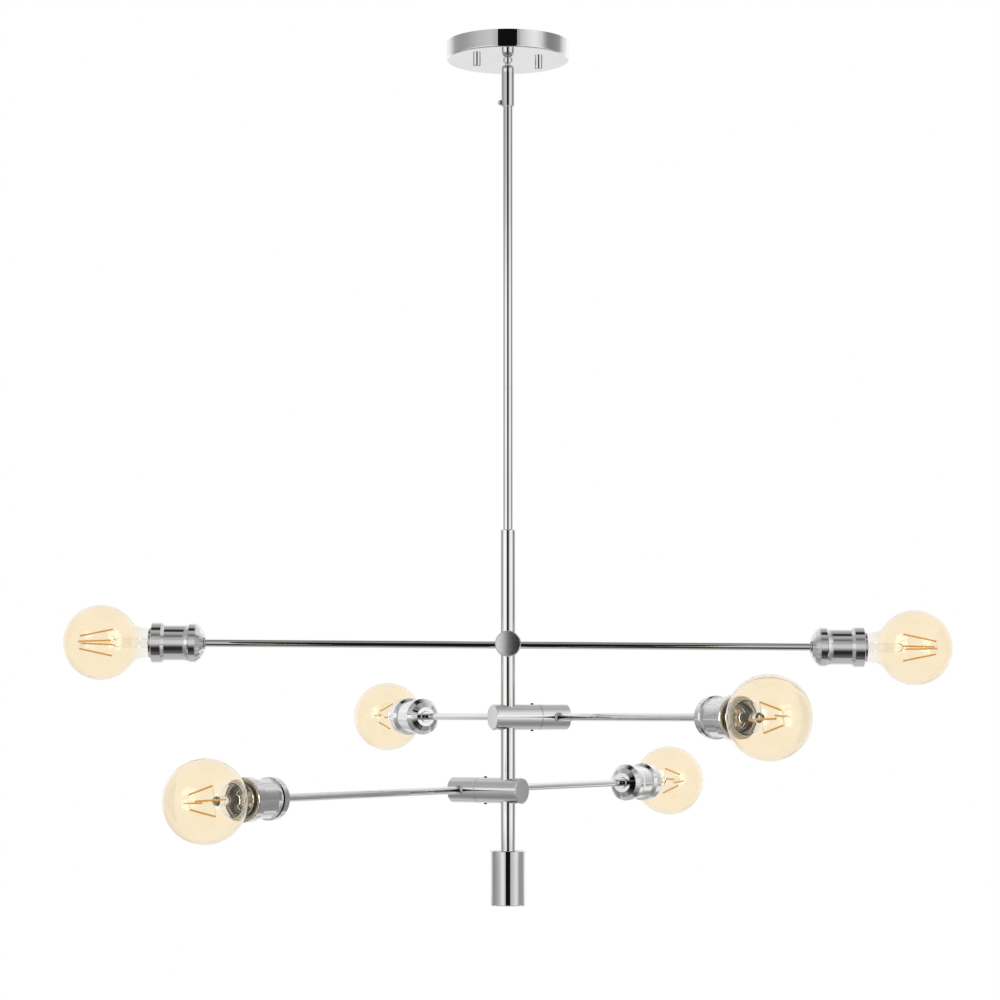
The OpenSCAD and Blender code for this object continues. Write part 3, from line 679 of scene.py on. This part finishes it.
def surface_life_group():
    group = bpy.data.node_groups.new("surface_life", "ShaderNodeTree")
    face = group.interface
    for name, value in LIFE_INPUTS.items():
        socket = face.new_socket(name=name, in_out="INPUT", socket_type="NodeSocketFloat")
        socket.default_value = value
    for name, kind in LIFE_OUTPUTS.items():
        face.new_socket(name=name, in_out="OUTPUT", socket_type="NodeSocket" + kind)
    given = add_node(group, "NodeGroupInput", (-1200, 0))
    coords = add_node(group, "ShaderNodeTexCoord", (-1200, 300)).outputs["Object"]
    stretch = add_node(group, "ShaderNodeCombineXYZ", (-1000, 0))
    for key, value in (("X", 1.0), ("Y", 1.0), ("Z", given.outputs["Stretch"])):
        feed(group, stretch.inputs[key], value)
    drawn_out = vector_node(group, "MULTIPLY", (-800, 200), coords, stretch.outputs[0])
    streaks = life_noise(group, (-600, 200), drawn_out, given.outputs["Scale"], STREAK_DETAIL)
    mask = soft_step(group, (-400, 200), streaks, *STREAK_LIMITS)
    rough = add_node(group, "ShaderNodeMapRange", (-200, 100))
    group.links.new(mask, rough.inputs["Value"])
    group.links.new(given.outputs["Smooth"], rough.inputs["To Min"])
    group.links.new(given.outputs["Dull"], rough.inputs["To Max"])
    wave = life_noise(group, (-600, -200), coords, given.outputs["Scale"], WAVE_DETAIL)
    bump = add_node(group, "ShaderNodeBump", (-200, -200))
    bump.inputs["Distance"].default_value = WAVE_HEIGHT
    group.links.new(given.outputs["Wave"], bump.inputs["Strength"])
    group.links.new(wave, bump.inputs["Height"])
    result = add_node(group, "NodeGroupOutput", (0, 0))
    for key, source in zip(LIFE_OUTPUTS, (mask, rough.outputs[0], bump.outputs[0])):
        group.links.new(source, result.inputs[key])
    return group


surface_life = surface_life_group()
print("group", surface_life.name, "with", len(surface_life.nodes), "nodes")

# %% [markdown]
# ## The opaque finishes
#
# Each finish is one Principled shader. Its base colour drifts between two close tones by the
# group's mask, and roughness and normal come from the group. The five numbers called life are
# the group's inputs in their order: scale, stretch, smooth roughness, dull roughness and wave.

# %% Opaque finishes
def place_life(tree, life):
    """Puts the group into a material with its own values."""
    node = add_node(tree, "ShaderNodeGroup", (-600, 0), node_tree=surface_life)
    for key, value in zip(LIFE_INPUTS, life):
        node.inputs[key].default_value = value
    return node.outputs


def finish(name, tone, worn_tone, metallic, life, coat=0.0):
    material = new_material(name)
    tree = material.node_tree
    given = place_life(tree, life)
    shade = add_node(tree, "ShaderNodeBsdfPrincipled", (0, 0))
    shade.inputs["Metallic"].default_value = metallic
    shade.inputs["Coat Weight"].default_value = coat
    colour = mix(tree, "RGBA", (-300, 200), given["Mask"], (*tone, 1), (*worn_tone, 1))
    tree.links.new(colour, shade.inputs["Base Color"])
    tree.links.new(given["Roughness"], shade.inputs["Roughness"])
    tree.links.new(given["Normal"], shade.inputs["Normal"])
    set_surface(tree, (300, 0), shade.outputs[0])
    return material


finishes = {
    "chrome": finish("polished_chrome", (0.82, 0.82, 0.82), (0.79, 0.79, 0.78),
                     metallic=1, life=(26, 0.35, 0.02, 0.05, 0.0015)),
    "zinc": finish("zinc_plate", (0.62, 0.63, 0.65), (0.50, 0.51, 0.52),
                   metallic=1, life=(120, 1, 0.22, 0.36, 0.1)),
    "dark_steel": finish("dark_steel", (0.06, 0.06, 0.065), (0.03, 0.03, 0.03),
                         metallic=1, life=(300, 1, 0.3, 0.45, 0.1)),
    "ground_green": finish("green_lacquer", (0.03, 0.20, 0.08), (0.02, 0.14, 0.06),
                           metallic=0.4, life=(200, 1, 0.3, 0.42, 0.1)),
    "bearing_plastic": finish("bearing_plastic", (0.74, 0.72, 0.66), (0.66, 0.64, 0.58),
                              metallic=0, life=(160, 1, 0.4, 0.5, 0.1)),
    "insulator_cream": finish("cream_glaze", (0.80, 0.74, 0.62), (0.70, 0.63, 0.50),
                              metallic=0, life=(220, 1, 0.12, 0.2, 0.15), coat=0.4),
    "brass": finish("nickelled_brass", (0.74, 0.72, 0.67), (0.62, 0.60, 0.55),
                    metallic=1, life=(160, 1, 0.12, 0.22, 0.1)),
    "bulb_cap": finish("bulb_cap_aluminium", (0.95, 0.89, 0.83), (0.88, 0.82, 0.76),
                       metallic=1, life=(240, 0.3, 0.12, 0.22, 0.1)),
    "filament": finish("filament_phosphor", (0.95, 0.54, 0.09), (0.88, 0.44, 0.06),
                       metallic=0, life=(900, 1, 0.4, 0.5, 0.3)),
}
print(len(finishes), "opaque finishes")

# %% [markdown]
# ## The turned ends of the hubs
#
# Each hub ends in a flat face that was turned on a lathe. Such a face is a little less bright
# than the plated tube, and the tool leaves it slightly dished, so it shows a soft gradient
# instead of a plain mirror. The face is found by its distance along the hub's axis, and a bump
# with a sloping and dished height bends its normal.

# %% Hub chrome
FACE_DEPTH = (0.0004, 0.0002)
TURNED_ROUGHNESS = 0.19


def hub_chrome(arm, slope, dish):
    """The chrome of one hub; slope and dish give the height of its face across the hub."""
    material = finishes["chrome"].copy()
    material.name = "hub_chrome_" + arm.name
    tree = material.node_tree
    shade = tree.nodes["Principled BSDF"]
    life = next(node for node in tree.nodes if node.type == "GROUP").outputs
    face_at = min(arm.reach("_hub", arm.hub_axis))
    place = place_from(tree, (-1500, -500), arm.centre)
    deep, across = (
        vector_node(tree, "DOT_PRODUCT", (-1100, -500 - 200 * i), place, way)
        for i, way in enumerate((arm.hub_axis, UP.cross(arm.hub_axis))))
    on_face = soft_step(tree, (-900, -400), deep, *(face_at + depth for depth in FACE_DEPTH))
    square = math_node(tree, "MULTIPLY", (-900, -700), across, across)
    curve = math_node(tree, "MULTIPLY", (-700, -700), square, dish)
    sloped = math_node(tree, "MULTIPLY", (-700, -500), across, slope)
    height = math_node(tree, "ADD", (-500, -600), sloped, curve)
    bump = add_node(tree, "ShaderNodeBump", (-150, -500))
    bump.inputs["Distance"].default_value = 1.0
    feed(tree, bump.inputs["Height"], math_node(tree, "MULTIPLY", (-300, -600), height, on_face))
    feed(tree, bump.inputs["Normal"], life["Normal"])
    feed(tree, shade.inputs["Normal"], bump.outputs["Normal"])
    duller = math_node(tree, "MULTIPLY", (-300, -300), on_face, TURNED_ROUGHNESS)
    rough = math_node(tree, "ADD", (-150, -200), life["Roughness"], duller)
    feed(tree, shade.inputs["Roughness"], rough)
    return material


SLOPE_AND_DISH = {"top": (-0.129, -3.8), "middle": (-0.009, 0.6), "low": (-0.03, 0.6)}
hub_finish = {arm.name + "_hub": hub_chrome(arm, *SLOPE_AND_DISH[arm.name]) for arm in arms}
print("hub ends:", list(hub_finish))

# %% [markdown]
# ## Amber glass
#
# The globe is tinted by a thin amber coat that thins out to clear glass on the neck. The tint
# follows the distance along the arm, so it is the same on both bulbs. A dot product with the
# arm's direction gives that distance, and its absolute value serves both ends at once.
#
# At the very tip of a globe the solid's small triangles meet in one point, and their normals
# lean there, so the glass would sparkle like a cut facet. Close to the tip the normal is
# therefore taken from the ball itself: it points straight away from the middle of the ball.

# %% Glass and the tip of the ball
GLASS_IOR = 1.45
GLOBE_R = 0.040
TIP_ZONE = 0.0012


def glass_shader(tree):
    shade = add_node(tree, "ShaderNodeBsdfPrincipled", (0, 0))
    shade.inputs["IOR"].default_value = GLASS_IOR
    shade.inputs["Transmission Weight"].default_value = 1.0
    return shade


def scaled(tree, place, vector, factor):
    """A vector times a number."""
    node = add_node(tree, "ShaderNodeVectorMath", place, operation="SCALE")
    feed(tree, node.inputs[0], vector)
    feed(tree, node.inputs["Scale"], factor)
    return node.outputs["Vector"]


def ball_normal(tree, arm, place, along):
    """The normal of the glass, taken from the ball itself within the zone at the tip."""
    tip = max(arm.reach("_globes", arm.along))
    side = math_node(tree, "SIGN", (-900, -500), along)
    to_middle = math_node(tree, "MULTIPLY", (-800, -500), side, tip - GLOBE_R)
    middle = scaled(tree, (-700, -500), arm.along, to_middle)
    away = vector_node(tree, "SUBTRACT", (-550, -500), place, middle)
    turned = add_node(tree, "ShaderNodeVectorTransform", (-400, -500), vector_type="NORMAL",
                      convert_from="OBJECT", convert_to="WORLD")
    tree.links.new(away, turned.inputs[0])
    mesh_normal = add_node(tree, "ShaderNodeNewGeometry", (-600, -800)).outputs["Normal"]
    agree = vector_node(tree, "DOT_PRODUCT", (-250, -700), turned.outputs[0], mesh_normal)
    same_side = math_node(tree, "SIGN", (-150, -700), agree)
    faced = scaled(tree, (-50, -500), turned.outputs[0], same_side)
    unit = vector_node(tree, "NORMALIZE", (50, -500), faced)
    outward = math_node(tree, "ABSOLUTE", (-200, -300), along)
    at_tip = math_node(tree, "GREATER_THAN", (-100, -300), outward, tip - TIP_ZONE)
    return mix(tree, "VECTOR", (200, -500), at_tip, mesh_normal, unit)


print("tip zone of", 1000 * TIP_ZONE, "mm on a ball of", 1000 * GLOBE_R, "mm")

# %% Amber glass
CLEAR_TO_AMBER = (0.386, 0.404)
NECK_TINT = (0.96, 0.955, 0.94, 1)
AMBER_TINT = (0.99, 0.912, 0.768, 1)


def amber_glass(arm):
    material = new_material("amber_glass_" + arm.name)
    tree = material.node_tree
    place = place_from(tree, (-1200, 0), arm.centre)
    along = vector_node(tree, "DOT_PRODUCT", (-800, 0), place, arm.along)
    outward = math_node(tree, "ABSOLUTE", (-600, 0), along)
    amber_share = soft_step(tree, (-400, 0), outward, *CLEAR_TO_AMBER)
    shade = glass_shader(tree)
    shade.inputs["Roughness"].default_value = 0.0
    feed(tree, shade.inputs["Base Color"],
         mix(tree, "RGBA", (-200, 0), amber_share, NECK_TINT, AMBER_TINT))
    feed(tree, shade.inputs["Normal"], ball_normal(tree, arm, place, along))
    set_surface(tree, (300, 0), shade.outputs[0])
    return material


amber = {arm.name: amber_glass(arm) for arm in arms}
print("amber from", CLEAR_TO_AMBER[1], "m out, clear until", CLEAR_TO_AMBER[0], "m")

# %% [markdown]
# ## Clear glass
#
# Inside each bulb a clear glass mount carries the filaments. Pressed glass is less even than the
# blown globe round it, so the mount takes the life group, with a very low roughness.

# %% Clear glass
MOUNT_TINT = (0.93, 0.93, 0.91, 1)
MOUNT_LIFE = (90, 1, 0.0, 0.04, 0.05)


def clear_glass():
    material = new_material("clear_glass")
    tree = material.node_tree
    life = place_life(tree, MOUNT_LIFE)
    shade = glass_shader(tree)
    shade.inputs["Base Color"].default_value = MOUNT_TINT
    tree.links.new(life["Roughness"], shade.inputs["Roughness"])
    tree.links.new(life["Normal"], shade.inputs["Normal"])
    set_surface(tree, (300, 0), shade.outputs[0])
    return material


finishes["clear_glass"] = clear_glass()
print(len(finishes), "finishes without the amber glass")

# %% [markdown]
# ## Dressing the solids
#
# Every solid names its material slot in the record. The loop gives each one the finish of its
# slot, the hubs get the chrome with the turned face, and the bulbs get the amber glass of their
# own arm.

# %% Dress
slot_of = {part["node"]: part["material_slot"] for part in frame["record"]["subparts"]}


def dress(name, material):
    mesh = nodes[name].data
    mesh.materials.clear()
    mesh.materials.append(material)


for name, slot in slot_of.items():
    if slot == "amber_glass":
        dress(name, amber[name.split("_")[0]])
    else:
        dress(name, hub_finish.get(name, finishes[slot]))
print("dressed", len(slot_of), "solids")

# %% [markdown]
# ## Last look at the size
#
# The box of the finished model is measured again, and the script prints how far it reaches past the box of
# the solids on each side. The finished model has to stay inside the box of the solids.

# %% Sizes
low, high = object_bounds()
for name, grown in (("below", cad_low - low), ("above", high - cad_high)):
    print("grown", name, "by mm:", [round(1000 * v, 2) for v in grown])
